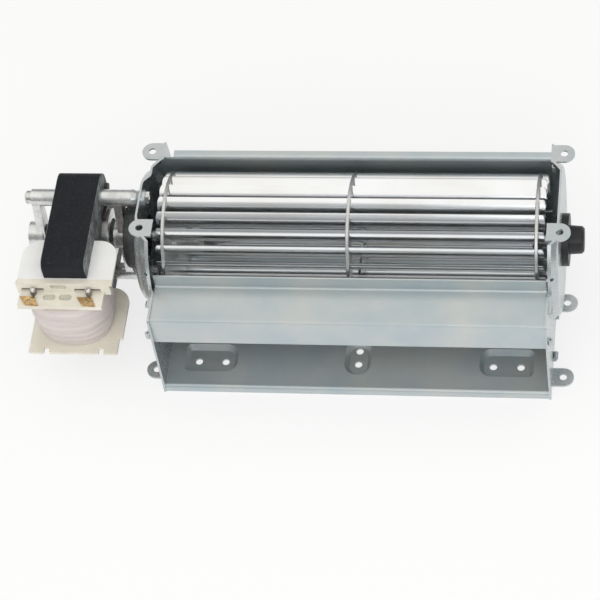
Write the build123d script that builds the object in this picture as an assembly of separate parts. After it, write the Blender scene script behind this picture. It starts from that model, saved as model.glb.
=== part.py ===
from build123d import *
import math
import os

os.makedirs("parts", exist_ok=True)

# The fan lies along X. It is drawn about the impeller axis (Y = 0, Z = 0), with the outlet
# towards -Y and the intake on top, and is lifted onto its base by save().

# Frame: centre of the four base ears, at the height of their undersides
AXIS_Y = 24.0
AXIS_Z = 47.5

# Impeller
BLADES = 24
BLADE_OUTER_R = 30.0
BLADE_INNER_R = 22.8
BLADE_T = 0.5
BLADE_END_X = 90.0
OUTLET_BLADE_ANGLE = 20.0
FIRST_BLADE_ANGLE = -3.6
BLADE_CORNER_R = 1.6
DISC_R = 30.6
DISC_T = 1.2
DISC_X = 86.4
RING_INNER_R = 20.5

# Shafts and bearings
SHAFT_R = 3.0
RUNNING_GAP = 0.05
BUSH_R = 5.0

# Housing sheet
SHEET = 1.0
PLATE_IN = 91.0
PLATE_OUT = PLATE_IN + SHEET
PLATE_TOP_Z = 27.5
PLATE_REAR_Y = 37.5
THROAT_R = 36.4
DISH_DEPTH = 4.5
STEP_DEPTH = 3.5
DISH = ((DISH_DEPTH, 37.0, 33.6),)
STEPPED_DISH = ((DISH_DEPTH, 37.0, 33.6), (STEP_DEPTH, 31.0, 29.4))
DISH_BEND_R = 1.0
DISH_GAP = 0.4
LOCATING_HOLE_R = 0.8
TAB_REACH = 2.6
BASE_Z = -AXIS_Z
LIP_Y = -57.0
FLOOR_Z = -43.5
BEND_R = 1.5

# Ears: one row on the intake plane, one on the base plane
EAR_X = 97.0
EAR_R = 4.9
EAR_HOLE_R = 1.75
TOP_EARS_Y = (29.0, -16.3)
BASE_EARS_Y = (-2.7, -45.3)
NOTCH_MARGIN = 0.4
NOTCH_DEPTH = 2.0

# Scroll: one arc from the flared rear wall round to the flat floor
SCROLL_R = 40.8
SCROLL_START = 20.0
SCROLL_Z = FLOOR_Z + SCROLL_R
SCROLL_Y = -7.4
FLANGE_REAR_Y = 29.6
FLANGE_LEFT_X = -86.6

# Vortex wall
TONGUE_Y = -32.8
TONGUE_TOP_Z = 11.7
SHELF_Z = 4.5
SHELF_FRONT_Y = -53.0
HEM_Z = -12.0
VORTEX_T = 0.8

# Tabs that fix both sheets to the end plates, as (y0, y1, z0, z1)
SCROLL_TABS = ((-38, -33, -46, -42), (-14, -9, -46, -42))
VORTEX_TABS = ((-45, -41, 2, 6), (-54, -51.9, -8, -4))

# Floor pads
PAD_X = 70.5
PAD_Y = -40.5
PAD_HOLE_PITCH = 13.0
MIDDLE_HOLE_PITCH = 7.5
PAD_TAPER = 33.0
PAD_WALL = 1.2

# Motor: a C-frame stack outside the left plate
CORE_X0 = -140.0
CORE_X1 = -119.5
CORE_HALF = 29.5
CORE_REAR_Y = 18.0
CORE_FRONT_Y = -40.0
WINDOW_REAR_Y = -17.5
LIMB = 10.0
YOKE = 12.0
BORE_R = 13.1
ROTOR_R = 12.6
POST_Y = 5.0
POST_Z = 22.2
POST_R = 4.05
INNER_POST_X = -104.0
OUTER_POST_X = -152.5
SCREW_R = 1.9
RIVET_Y = 14.5
RIVET_Z = 18.2
RIVET_R = 1.3
RIVET_HEAD_R = 2.1
RIVET_HEAD_H = 1.6
MOTOR_FLOOR_X = -(PLATE_IN + DISH_DEPTH + STEP_DEPTH)

# Coil bobbin
BOBBIN_X0 = -152.7
BOBBIN_X1 = -107.5
FLANGE_T = 1.5
FLANGE_REAR = -18.2
RIM_FRONT_Y = -43.2
LEDGE_TOP_Z = 13.5
LEDGE_FRONT_Y = -52.0
BASE_FLANGE_FRONT_Y = -56.0
TERMINAL_X = (-146.9, -119.8)


def save(piece, node):
    """Lift a piece, or a group of like pieces, into the fan's own frame and write it."""
    lift = Pos(0, AXIS_Y, AXIS_Z)
    if isinstance(piece, list):
        shape = Compound([(lift * one).solid() for one in piece])
    else:
        shape = lift * piece
    export_step(shape, "parts/" + node + ".step")


def prism(face, x0, x1):
    """Extrude a YZ face from x0 to x1."""
    return extrude(Plane.YZ.offset(x0) * face, x1 - x0, dir=(1, 0, 0))


def slab(face, z0, z1):
    """Extrude an XY face from z0 up to z1."""
    return extrude(Plane.XY.offset(z0) * face, z1 - z0, dir=(0, 0, 1))


def turned(*points):
    """Turn a closed outline of (x, r) points about the impeller axis."""
    return revolve(Plane.XZ * make_face(Polyline(*points, close=True)), Axis.X)


def tube(x0, x1, outer, inner):
    """A plain ring on the impeller axis."""
    return turned((x0, inner), (x1, inner), (x1, outer), (x0, outer))


def rod(x0, x1, radius, y=0, z=0):
    """A round bar along X."""
    return prism(Pos(y, z) * Circle(radius), x0, x1)


def box(x0, x1, y0, y1, z0, z1):
    """A block between two corners."""
    return Pos((x0 + x1) / 2, (y0 + y1) / 2, (z0 + z1) / 2) * Box(x1 - x0, y1 - y0, z1 - z0)


def box2(y0, y1, z0, z1):
    """A YZ rectangle between two corners."""
    return Pos((y0 + y1) / 2, (z0 + z1) / 2) * Rectangle(y1 - y0, z1 - z0)


def bent_sheet(path, thickness):
    """The section of a sheet whose outer face follows a path, with its thickness on the left."""
    return make_face(offset(path, thickness, side=Side.LEFT, closed=True))


def sector(r0, r1, a0, a1):
    """A flat ring sector between two angles, in degrees."""
    inner = CenterArc((0, 0), r0, a0, a1 - a0)
    outer = CenterArc((0, 0), r1, a0, a1 - a0)
    return make_face([inner, Line(inner @ 1, outer @ 1), outer, Line(outer @ 0, inner @ 0)])


# ---------------------------------------------------------------- impeller

def blade_face():
    """One blade's section: an arc, radial at its inner edge and leaning forward at its outer edge."""
    lean = math.cos(math.radians(OUTLET_BLADE_ANGLE))
    radius = (BLADE_OUTER_R ** 2 - BLADE_INNER_R ** 2) / (2 * BLADE_OUTER_R * lean)
    reach = math.hypot(BLADE_INNER_R, radius)
    swing = math.acos((reach ** 2 + radius ** 2 - BLADE_OUTER_R ** 2) / (2 * reach * radius))
    turn = math.degrees(swing - math.atan2(BLADE_INNER_R, radius))
    arc = JernArc((BLADE_INNER_R, 0), (1, 0), radius, -turn)
    return bent_sheet(Wire([arc]), BLADE_T)


def blade_sections():
    """Every blade's section, spaced evenly round the wheel."""
    return [Rot(0, 0, FIRST_BLADE_ANGLE + i * 360 / BLADES) * blade_face() for i in range(BLADES)]


def impeller_blades():
    """The strips, each with its outer corners rounded at both ends."""
    envelope = rod(-BLADE_END_X, BLADE_END_X, BLADE_OUTER_R + BLADE_T)
    envelope = fillet(envelope.edges().filter_by(GeomType.CIRCLE), BLADE_CORNER_R)
    return [prism(face, -BLADE_END_X, BLADE_END_X) & envelope for face in blade_sections()]


def slotted_disc(x, inner_r):
    """A disc with one slot for each blade and its rim left whole outside them."""
    disc = tube(x - DISC_T / 2, x + DISC_T / 2, DISC_R, inner_r)
    cutters = [prism(face, x - DISC_T, x + DISC_T) for face in blade_sections()]
    return disc - cutters


def drive_hub():
    """The hub inside the left disc that is clamped to the motor shaft."""
    inside = -DISC_X + DISC_T / 2
    body = turned((inside, SHAFT_R), (inside + 12, SHAFT_R), (inside + 12, 6.5), (inside + 2, 6.5),
                  (inside + 2, 11), (inside, 11))
    return body - Pos(inside + 7, 0, 5) * Cylinder(1.6, 10)


def hub_set_screw():
    """The grub screw that holds the hub on the shaft."""
    x = -DISC_X + DISC_T / 2 + 7
    return Pos(x, 0, (SHAFT_R + 7) / 2) * Cylinder(1.6, 7 - SHAFT_R)


def right_stub_shaft():
    """The stub shaft riveted into the right disc."""
    face = DISC_X + DISC_T / 2
    return turned((face - DISC_T - 3, 0), (103.0, 0), (103.0, SHAFT_R - 0.4), (102.6, SHAFT_R),
                  (face, SHAFT_R), (face, 3.6), (face - DISC_T, 3.6), (face - DISC_T, 9),
                  (face - DISC_T - 1.2, 9), (face - DISC_T - 3, 5))


# ---------------------------------------------------------------- housing

def plate_outline():
    """The end plate's outline: its front edge follows the dish, then the shelf, then drops to the toe."""
    shelf_z = SHELF_Z + SHEET
    top_rear = (34.5, PLATE_TOP_Z)
    top_front = (-math.sqrt(THROAT_R ** 2 - PLATE_TOP_Z ** 2), PLATE_TOP_Z)
    throat_end = (-math.sqrt(THROAT_R ** 2 - shelf_z ** 2), shelf_z)
    nose = (SHELF_FRONT_Y - SHEET, shelf_z)
    toe = (LIP_Y - 0.5, BASE_Z)
    heel = (3.5, BASE_Z)
    rear = (PLATE_REAR_Y, -5.0)
    outline = make_face([Polyline(rear, top_rear, top_front), RadiusArc(top_front, throat_end, -THROAT_R),
                         Polyline(throat_end, nose, toe, heel), TangentArc(heel, rear, tangent=(1, 0))])
    return fillet(outline.vertices().sort_by_distance(nose)[0], 2.0)


def dished_disc(steps):
    """A wide disc of sheet, pressed outward in conical steps of (depth, rim radius, floor radius)."""
    x = PLATE_IN
    points = [(x, 90)]
    for depth, rim_r, floor_r in steps:
        points += [(x, rim_r), (x + depth, floor_r)]
        x += depth
    path = FilletPolyline(*points, (x, 0), radius=DISH_BEND_R)
    return revolve(Plane.XZ * bent_sheet(path, SHEET), Axis.X)


def ear(y, z0):
    """One folded ear with its screw hole."""
    plan = Pos(EAR_X, y) * Circle(EAR_R) + Pos((PLATE_IN + EAR_X) / 2, y) * Rectangle(EAR_X - PLATE_IN, 2 * EAR_R)
    return slab(plan - Pos(EAR_X, y) * Circle(EAR_HOLE_R), z0, z0 + SHEET)


def screw_notch(y):
    """Room for a screw's end under a top ear, where the dish reaches out below its hole."""
    under = PLATE_TOP_Z - SHEET
    reach = EAR_HOLE_R + NOTCH_MARGIN
    return box(EAR_X - reach, EAR_X + EAR_R, y - reach, y + reach, under - NOTCH_DEPTH, under)


def end_plate(steps, hole_r):
    """The right-hand end plate: dished sheet with four ears and slots for the tabs of both sheets."""
    plate = dished_disc(steps) & prism(plate_outline(), PLATE_IN - 1, PLATE_IN + 12)
    for y in TOP_EARS_Y:
        plate += ear(y, PLATE_TOP_Z - SHEET)
        plate -= Pos(EAR_X, y, PLATE_TOP_Z) * Cylinder(EAR_HOLE_R, 2 * SHEET)
        plate -= screw_notch(y)
    for y in BASE_EARS_Y:
        plate += ear(y, BASE_Z)
    plate -= rod(PLATE_IN - 1, PLATE_IN + 12, hole_r)
    hole = Pos(PLATE_IN + 2.7, -33.4, 14.1) * Rot(67, 0, 0) * Cylinder(LOCATING_HOLE_R, 8)
    return plate - hole - tabs(scroll_section(), SCROLL_TABS, 1) - tabs(vortex_section(), VORTEX_TABS, 1)


def left_end_plate():
    """The left end plate: a second step in its dish carries the motor on two rubber mounts."""
    plate = mirror(end_plate(STEPPED_DISH, 10.0), Plane.YZ)
    for side in (-1, 1):
        plate -= rod(MOTOR_FLOOR_X - 5, MOTOR_FLOOR_X + 5, 3.0, side * POST_Y, side * POST_Z)
    return plate


def tabs(section, windows, side):
    """Tabs of a sheet's own section that are staked through an end plate, one for each (y, z) window."""
    reach = prism(section, side * PLATE_IN, side * (PLATE_OUT + TAB_REACH - SHEET))
    return [reach & box(-120, 120, *window) for window in windows]


def scroll_path():
    """The scroll's air side and top face, from the rear flange round to the front lip."""
    start = (SCROLL_Y + SCROLL_R * math.cos(math.radians(SCROLL_START)),
             SCROLL_Z + SCROLL_R * math.sin(math.radians(SCROLL_START)))
    rise = PLATE_TOP_Z - start[1]
    mouth = (start[0] - rise * math.tan(math.radians(SCROLL_START)), PLATE_TOP_Z)
    flare = FilletPolyline((FLANGE_REAR_Y, PLATE_TOP_Z), mouth, start, radius=BEND_R)
    curve = RadiusArc(start, (SCROLL_Y, FLOOR_Z), SCROLL_R)
    outlet = FilletPolyline((SCROLL_Y, FLOOR_Z), (LIP_Y, FLOOR_Z), (LIP_Y, BASE_Z), radius=2.0)
    return Wire([*flare.edges(), *curve.edges(), *outlet.edges()])


def scroll_section():
    """The scroll sheet's section."""
    return bent_sheet(scroll_path(), SHEET)


def dish_reach(side):
    """The stretch of the scroll behind the wheel that reaches on into an end plate's dish."""
    depth, rim_r, floor_r = DISH[0]
    x0, x1 = PLATE_IN, PLATE_IN + depth
    room = turned((x0, 0), (x0, rim_r - DISH_GAP), (x1, floor_r - DISH_GAP), (x1, 0))
    reach = prism(scroll_section(), x0, x1) & room
    return reach if side > 0 else mirror(reach, Plane.YZ)


def pressed_pad(floor, outline, holes):
    """Press a flat-bottomed pad down to the base plane and pierce its screw holes."""
    floor += extrude(Plane.XY.offset(FLOOR_Z) * outline, -(FLOOR_Z - BASE_Z), taper=PAD_TAPER)
    inner = offset(outline, -PAD_WALL)
    floor -= extrude(Plane.XY.offset(FLOOR_Z) * inner, -(FLOOR_Z - BASE_Z - SHEET), taper=PAD_TAPER)
    for x, y in holes:
        floor -= Pos(x, y, BASE_Z) * Cylinder(EAR_HOLE_R, 6)
    return floor


def side_pad_outline(side):
    """Plan of an outer pad: square outer end, rounder inner end."""
    plan = Pos(side * PAD_X, PAD_Y + 0.5) * Rectangle(28, 18)
    outer = plan.vertices().group_by(Axis.X)[-1 if side > 0 else 0]
    plan = fillet(outer, 4)
    inner = plan.vertices().group_by(Axis.X)[0 if side > 0 else -1]
    return fillet(inner, 7)


def scroll_housing():
    """The scroll sheet with its tabs and its three pressed floor pads."""
    shell = prism(scroll_section(), -PLATE_IN, PLATE_IN)
    shell -= box(-PLATE_IN - 1, FLANGE_LEFT_X, FLANGE_REAR_Y - 3.6, FLANGE_REAR_Y + 1, PLATE_TOP_Z - 2, PLATE_TOP_Z + 1)
    for side in (-1, 1):
        shell += tabs(scroll_section(), SCROLL_TABS, side)
        shell += dish_reach(side)
    for side in (-1, 1):
        x = side * PAD_X
        holes = [(x - PAD_HOLE_PITCH / 2, PAD_Y), (x + PAD_HOLE_PITCH / 2, PAD_Y)]
        shell = pressed_pad(shell, side_pad_outline(side), holes)
    middle = Pos(0, PAD_Y + 2) * SlotOverall(22, 15, rotation=90)
    return pressed_pad(shell, middle, [(0, PAD_Y), (0, PAD_Y + MIDDLE_HOLE_PITCH)])


def vortex_section():
    """Tongue, shelf and hemmed front flange in section."""
    run = FilletPolyline((TONGUE_Y, TONGUE_TOP_Z), (TONGUE_Y, SHELF_Z), (SHELF_FRONT_Y, SHELF_Z),
                         (SHELF_FRONT_Y, HEM_Z), radius=1.2)
    hem = JernArc((SHELF_FRONT_Y, HEM_Z), (0, -1), VORTEX_T + 0.15, 180)
    back = Line(hem @ 1, hem @ 1 + Vector(0, 3))
    path = Wire([*run.edges(), *hem.edges(), *back.edges()])
    return bent_sheet(path, VORTEX_T)


def vortex_wall():
    """The vortex wall, bent from one strip, with two tabs at each end."""
    wall = prism(vortex_section(), -PLATE_IN, PLATE_IN)
    for side in (-1, 1):
        wall += tabs(vortex_section(), VORTEX_TABS, side)
    return wall


def bearing_grommet():
    """Rubber bush: a wide outer flange, a neck through the plate and a blind hub."""
    x0 = PLATE_IN + DISH_DEPTH
    x1 = x0 + SHEET
    return turned((x0 - 2.0, BUSH_R - 0.5), (x0 - 2.0, 11), (x0, 11), (x0, 9), (x1, 9), (x1, 12.3),
                  (x1 + 3.2, 12.3), (x1 + 3.2, 6.8), (x1 + 9.0, 6.4), (x1 + 10, 5.4),
                  (x1 + 10, 0), (x1 + 8.0, 0), (x1 + 8.0, BUSH_R - 0.5))


def right_bearing_bush():
    """Sintered bush inside the grommet."""
    x0 = PLATE_IN + DISH_DEPTH - 2.0
    return tube(x0, x0 + 10, BUSH_R - 0.5, SHAFT_R + RUNNING_GAP)


# ---------------------------------------------------------------- motor

def core_outline():
    """Outline of the C-frame lamination with its window for the coil."""
    centre_y = (CORE_REAR_Y + CORE_FRONT_Y) / 2
    block = Pos(centre_y, 0) * Rectangle(CORE_REAR_Y - CORE_FRONT_Y, 2 * CORE_HALF)
    block = fillet(block.vertices().group_by(Axis.X)[-1], 8)
    block = fillet(block.vertices().group_by(Axis.X)[0], 4)
    window = box2(CORE_FRONT_Y + YOKE, WINDOW_REAR_Y, -CORE_HALF + LIMB, CORE_HALF - LIMB)
    gap = box2(CORE_FRONT_Y - 1, CORE_FRONT_Y + YOKE, -CORE_HALF + LIMB, CORE_HALF - LIMB)
    return block - window - gap


def shading_sectors():
    """Start and end angles of the two shaded pole sectors."""
    return ((45, 95), (225, 275))


def stator_core():
    """The laminated stack with rotor bore, bracket holes and shading slots."""
    face = core_outline() - Circle(BORE_R)
    for side in (-1, 1):
        face -= Pos(side * POST_Y, side * POST_Z) * Circle(SCREW_R + 0.2)
        face -= Pos(RIVET_Y, side * RIVET_Z) * Circle(RIVET_R)
    for a0, a1 in shading_sectors():
        face -= sector(BORE_R - 0.5, BORE_R + 2.2, a0, a0 + 8)
        face -= sector(BORE_R - 0.5, BORE_R + 2.2, a1 - 8, a1)
    return prism(face, CORE_X0, CORE_X1)


def core_yoke():
    """The straight leg that closes the frame through the bobbin."""
    return box(CORE_X0, CORE_X1, CORE_FRONT_Y, CORE_FRONT_Y + YOKE, -CORE_HALF + LIMB, CORE_HALF - LIMB)


def shading_rings():
    """Copper loops round part of each pole."""
    rings = []
    for a0, a1 in shading_sectors():
        loop = prism(sector(BORE_R + 0.2, BORE_R + 2.2, a0, a1), CORE_X0 - 1.5, CORE_X1 + 1.5)
        rings.append(loop - prism(sector(BORE_R, BORE_R + 3, a0 + 8, a1 - 8), CORE_X0, CORE_X1))
    return rings


def core_rivets():
    """Two rivets through the corners of the stack."""
    rivets = []
    for side in (-1, 1):
        y, z = RIVET_Y, side * RIVET_Z
        heads = (rod(CORE_X0 - RIVET_HEAD_H, CORE_X0, RIVET_HEAD_R, y, z)
                 + rod(CORE_X1, CORE_X1 + RIVET_HEAD_H, RIVET_HEAD_R, y, z))
        rivets.append(heads + rod(CORE_X0, CORE_X1, RIVET_R, y, z))
    return rivets


def bobbin_notches(z0):
    """The two slots in the front edge of the lower flange."""
    return [box(x, x + 2.6, BASE_FLANGE_FRONT_Y - 1, BASE_FLANGE_FRONT_Y + 2.8, z0 - 1, z0 + 3)
            for x in (-145.4, -119.1)]


def bobbin_flange(x1, front_y):
    """Plan of a bobbin flange with both rear corners rounded."""
    plan = Pos((BOBBIN_X0 + x1) / 2, (FLANGE_REAR + front_y) / 2) * Rectangle(x1 - BOBBIN_X0, FLANGE_REAR - front_y)
    return fillet(plan.vertices().group_by(Axis.Y)[-1], 9)


def coil_bobbin():
    """Moulded bobbin: tube on the yoke, two flanges, and the rim and terminal ledge in front."""
    top = CORE_HALF - LIMB
    core_y0, core_y1 = CORE_FRONT_Y, CORE_FRONT_Y + YOKE
    lower = bobbin_flange(BOBBIN_X1 - 1.0, BASE_FLANGE_FRONT_Y)
    lower -= Pos(BOBBIN_X1 - 1.0, BASE_FLANGE_FRONT_Y) * Rectangle(3, 17)
    body = slab(bobbin_flange(BOBBIN_X1, RIM_FRONT_Y), top - FLANGE_T, top)
    body += slab(lower, -top, -top + FLANGE_T)
    body += box(CORE_X0 - 1.3, CORE_X1 + 1.3, core_y0 - 1.3, core_y1 + 1.3, -top, top)
    rim = box(BOBBIN_X0 - 0.5, BOBBIN_X1 - 1.5, RIM_FRONT_Y, RIM_FRONT_Y + 1.9, LEDGE_TOP_Z - 2, top)
    for x0, x1 in ((-151.2, -140.5), (-126.0, -113.5)):
        rim -= box(x0, x1, RIM_FRONT_Y - 1, RIM_FRONT_Y + 1.1, LEDGE_TOP_Z, LEDGE_TOP_Z + 2.2)
    body += rim
    body += box(BOBBIN_X0 + 0.6, BOBBIN_X1 - 4.6, LEDGE_FRONT_Y, RIM_FRONT_Y + 1, LEDGE_TOP_Z - 2.2, LEDGE_TOP_Z)
    for x in (-137.6, -130.0):
        body -= Pos(x, -46.6, LEDGE_TOP_Z) * extrude(SlotOverall(6, 3.2), 1.2, both=True)
    body -= Pos(-133.3, RIM_FRONT_Y, LEDGE_TOP_Z + 3.4) * Rot(90, 0, 0) * extrude(SlotOverall(8, 3), 1.0, both=True)
    body -= box(CORE_X0, CORE_X1, core_y0, core_y1, -30, 30)
    for notch in bobbin_notches(-top):
        body -= notch
    return body


def coil_winding():
    """The taped winding between the flanges, barrel-shaped in plan."""
    top = CORE_HALF - LIMB - FLANGE_T
    plan = Pos(-131.5, -36.1) * Rectangle(38.2, 35)
    plan = fillet(plan.vertices(), 16)
    coil = slab(plan, -top, top)
    coil = chamfer(coil.edges().group_by(Axis.Z)[0] + coil.edges().group_by(Axis.Z)[-1], 4, 1.6)
    coil -= box(CORE_X0 - 1.3, CORE_X1 + 1.3, CORE_FRONT_Y - 1.3, CORE_FRONT_Y + YOKE + 1.3, -30, 30)
    return coil - box(-160, -100, -60, RIM_FRONT_Y + 1.9, LEDGE_TOP_Z - 2.2, 30)


def terminal_pins():
    """The two posts that the winding ends are wrapped on."""
    return [Pos(x, -45.0, LEDGE_TOP_Z + 2) * Cylinder(1.3, 4) for x in (-145.2, -118.9)]


def terminal_tab(x):
    """A flat brass blade, skewed on the ledge, with its eye."""
    corners = ((-4.8, 2.5), (2.4, 2.4), (4.8, -2.4), (-1.4, -2.0))
    plan = make_face(Polyline(*corners, close=True)) - Circle(0.8)
    return slab(Pos(x, -49.3) * plan, LEDGE_TOP_Z, LEDGE_TOP_Z + 0.8)


def bracket(x_core, x_post, arm_x0, arm_x1, boss_x0, boss_x1):
    """A cast bridge: two posts, tapering arms, and a bearing boss on the axis."""
    y, z = POST_Y, POST_Z
    web = make_hull([*(Pos(y, z) * Circle(3.2)).edges(), *(Circle(4.6)).edges()])
    webs = web + Rot(0, 0, 180) * web
    body = prism(webs, arm_x0, arm_x1) + rod(boss_x0, boss_x1, 6.3)
    for side in (-1, 1):
        body += rod(min(x_core, x_post), max(x_core, x_post), POST_R, side * y, side * z)
    for side in (-1, 1):
        body -= rod(-170, -90, SCREW_R, side * y, side * z)
    return body - rod(boss_x0 - 1, boss_x1 + 1, BUSH_R - 1)


def motor_screws():
    """Long slotted screws through both brackets, the core and the plate."""
    screws = []
    for side in (-1, 1):
        y, z = side * POST_Y, side * POST_Z
        head = rod(OUTER_POST_X - 3.2, OUTER_POST_X, 3.2, y, z)
        head = chamfer(head.edges().group_by(Axis.X)[0], 0.8)
        head -= box(OUTER_POST_X - 4, OUTER_POST_X - 1.9, y - 5, y + 5, z - 0.5, z + 0.5)
        screws.append(head + rod(OUTER_POST_X, MOTOR_FLOOR_X + 3.6, SCREW_R, y, z))
    return screws


def screw_nuts():
    """Nuts inside the left plate's dish."""
    x = MOTOR_FLOOR_X + 1.5
    nut = prism(RegularPolygon(3.3, 6), x, x + 1.8)
    nut -= rod(x - 1, x + 4, SCREW_R)
    return [Pos(0, side * POST_Y, side * POST_Z) * nut for side in (-1, 1)]


def motor_grommets():
    """Rubber mounts between the posts and the left plate."""
    floor = MOTOR_FLOOR_X
    face = floor - SHEET
    ring = turned((INNER_POST_X, SCREW_R), (floor + 1.5, SCREW_R), (floor + 1.5, 4.3), (floor, 4.3),
                  (floor, 3.0), (face, 3.0), (face, 4.3), (face - 1.8, 3.5), (INNER_POST_X, 4.3))
    return [Pos(0, side * POST_Y, side * POST_Z) * ring for side in (-1, 1)]


def motor_spacer_cup():
    """The cup that joins the motor side to the left plate round the shaft."""
    face = MOTOR_FLOOR_X - SHEET
    end = -105.7
    return turned((face, 16.5), (end, 16.5), (end, 8), (end + 1.2, 8), (end + 1.2, 15.3), (face, 15.3))


def motor_shaft():
    """The shaft from the outer bearing through the rotor into the drive hub."""
    return turned((-155.5, 0), (-155.5, SHAFT_R - 0.5), (-155.0, SHAFT_R), (-75.5, SHAFT_R), (-75.0, SHAFT_R - 0.5),
                  (-75.0, 0))


def rotor_end_rings():
    """Cast end rings on both faces of the rotor."""
    return [tube(CORE_X0 - 3, CORE_X0, ROTOR_R, 8), tube(CORE_X1, CORE_X1 + 2.8, ROTOR_R, 8)]


def thrust_washers():
    """Washers between the rotor and the bearings."""
    return [tube(-148.8, -148.0, 4.8, SHAFT_R), tube(-116.1, -115.3, 4.8, SHAFT_R)]


save(scroll_housing(), "scroll_housing")
save(vortex_wall(), "vortex_wall")
save(end_plate(DISH, 9.0), "right_end_plate")
save(left_end_plate(), "left_end_plate")
save(bearing_grommet(), "bearing_grommet")
save(right_bearing_bush(), "right_bearing_bush")

save(impeller_blades(), "impeller_blades")
save(slotted_disc(-DISC_X, SHAFT_R), "left_end_disc")
save(slotted_disc(0, RING_INNER_R), "middle_ring")
save(slotted_disc(DISC_X, 3.6), "right_end_disc")
save(drive_hub(), "drive_hub")
save(hub_set_screw(), "hub_set_screw")
save(right_stub_shaft(), "right_stub_shaft")

save(stator_core(), "stator_core")
save(core_yoke(), "core_yoke")
save(shading_rings(), "shading_rings")
save(core_rivets(), "core_rivets")
save(coil_bobbin(), "coil_bobbin")
save(coil_winding(), "coil_winding")
save(terminal_pins(), "terminal_pins")
save(terminal_tab(TERMINAL_X[0]), "left_terminal")
save(terminal_tab(TERMINAL_X[1]), "right_terminal")
save(bracket(CORE_X0, OUTER_POST_X, -152.5, -148.8, -156.8, -149.8), "outer_bracket")
save(bracket(CORE_X1, INNER_POST_X, -113.0, -109.3, -115.3, -109.3), "inner_bracket")
save(tube(-155.0, -149.8, BUSH_R - 1, SHAFT_R + RUNNING_GAP), "outer_bearing_bush")
save(tube(-115.3, -109.3, BUSH_R - 1, SHAFT_R + RUNNING_GAP), "inner_bearing_bush")
save(motor_screws(), "motor_screws")
save(screw_nuts(), "screw_nuts")
save(motor_grommets(), "motor_grommets")
save(motor_spacer_cup(), "motor_spacer_cup")
save(motor_shaft(), "motor_shaft")
save(tube(CORE_X0, CORE_X1, ROTOR_R, SHAFT_R), "rotor_core")
save(rotor_end_rings(), "rotor_end_rings")
save(thrust_washers(), "thrust_washers")
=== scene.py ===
import logging
import math
from dataclasses import dataclass
from enum import Enum
from typing import Sequence

import bmesh
import bpy
from mathutils import Matrix, Vector, noise


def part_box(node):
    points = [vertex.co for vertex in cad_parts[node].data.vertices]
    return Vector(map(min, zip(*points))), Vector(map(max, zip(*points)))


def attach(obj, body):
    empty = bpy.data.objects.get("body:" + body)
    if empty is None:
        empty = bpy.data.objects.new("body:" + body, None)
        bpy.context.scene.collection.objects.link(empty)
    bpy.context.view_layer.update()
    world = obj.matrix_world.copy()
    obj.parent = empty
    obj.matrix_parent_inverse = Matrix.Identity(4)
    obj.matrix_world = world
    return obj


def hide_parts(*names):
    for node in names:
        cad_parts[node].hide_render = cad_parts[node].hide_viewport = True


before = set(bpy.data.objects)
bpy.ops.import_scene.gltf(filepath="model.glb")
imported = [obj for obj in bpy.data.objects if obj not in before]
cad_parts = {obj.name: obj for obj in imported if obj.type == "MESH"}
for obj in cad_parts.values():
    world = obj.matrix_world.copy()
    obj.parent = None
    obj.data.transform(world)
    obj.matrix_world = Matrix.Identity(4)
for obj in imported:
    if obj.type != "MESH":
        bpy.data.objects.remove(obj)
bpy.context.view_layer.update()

# Lengths are in metres where nothing else is said, and place() takes millimetres from the wheel's middle.
MM = 0.001
AXIS = Vector((0.0, 24.0, 47.5)) * MM
ALONG = Vector((1.0, 0.0, 0.0))
REAR = Vector((0.0, 1.0, 0.0))
UP = Vector((0.0, 0.0, 1.0))
LOG = logging.getLogger("fan")
Colour = tuple[float, float, float]
Socket = bpy.types.NodeSocket
Shape = bmesh.types.BMesh


class Body(Enum):
    """The two bodies that pieces ride on."""

    HOUSING = "housing"
    ROTOR = "rotor"


class Grain(Enum):
    """How the fine marks of a finish run: how closely they lie along X, Y and Z, next to their own size."""

    ALONG_X = (0.012, 1.0, 1.0)
    MOTTLED = (1.0, 1.0, 1.0)
    STACKED = (1.0, 0.02, 0.02)


# -------------------- finishes

# Ranges of a noise value: the one that most of it lies in, and a wider one for slow changes.
BULK = (0.35, 0.65)
WIDE = (0.3, 0.7)


def even(cells: float) -> tuple[float, float, float]:
    """The same number of noise cells per metre along each axis."""
    return (cells, cells, cells)


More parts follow.
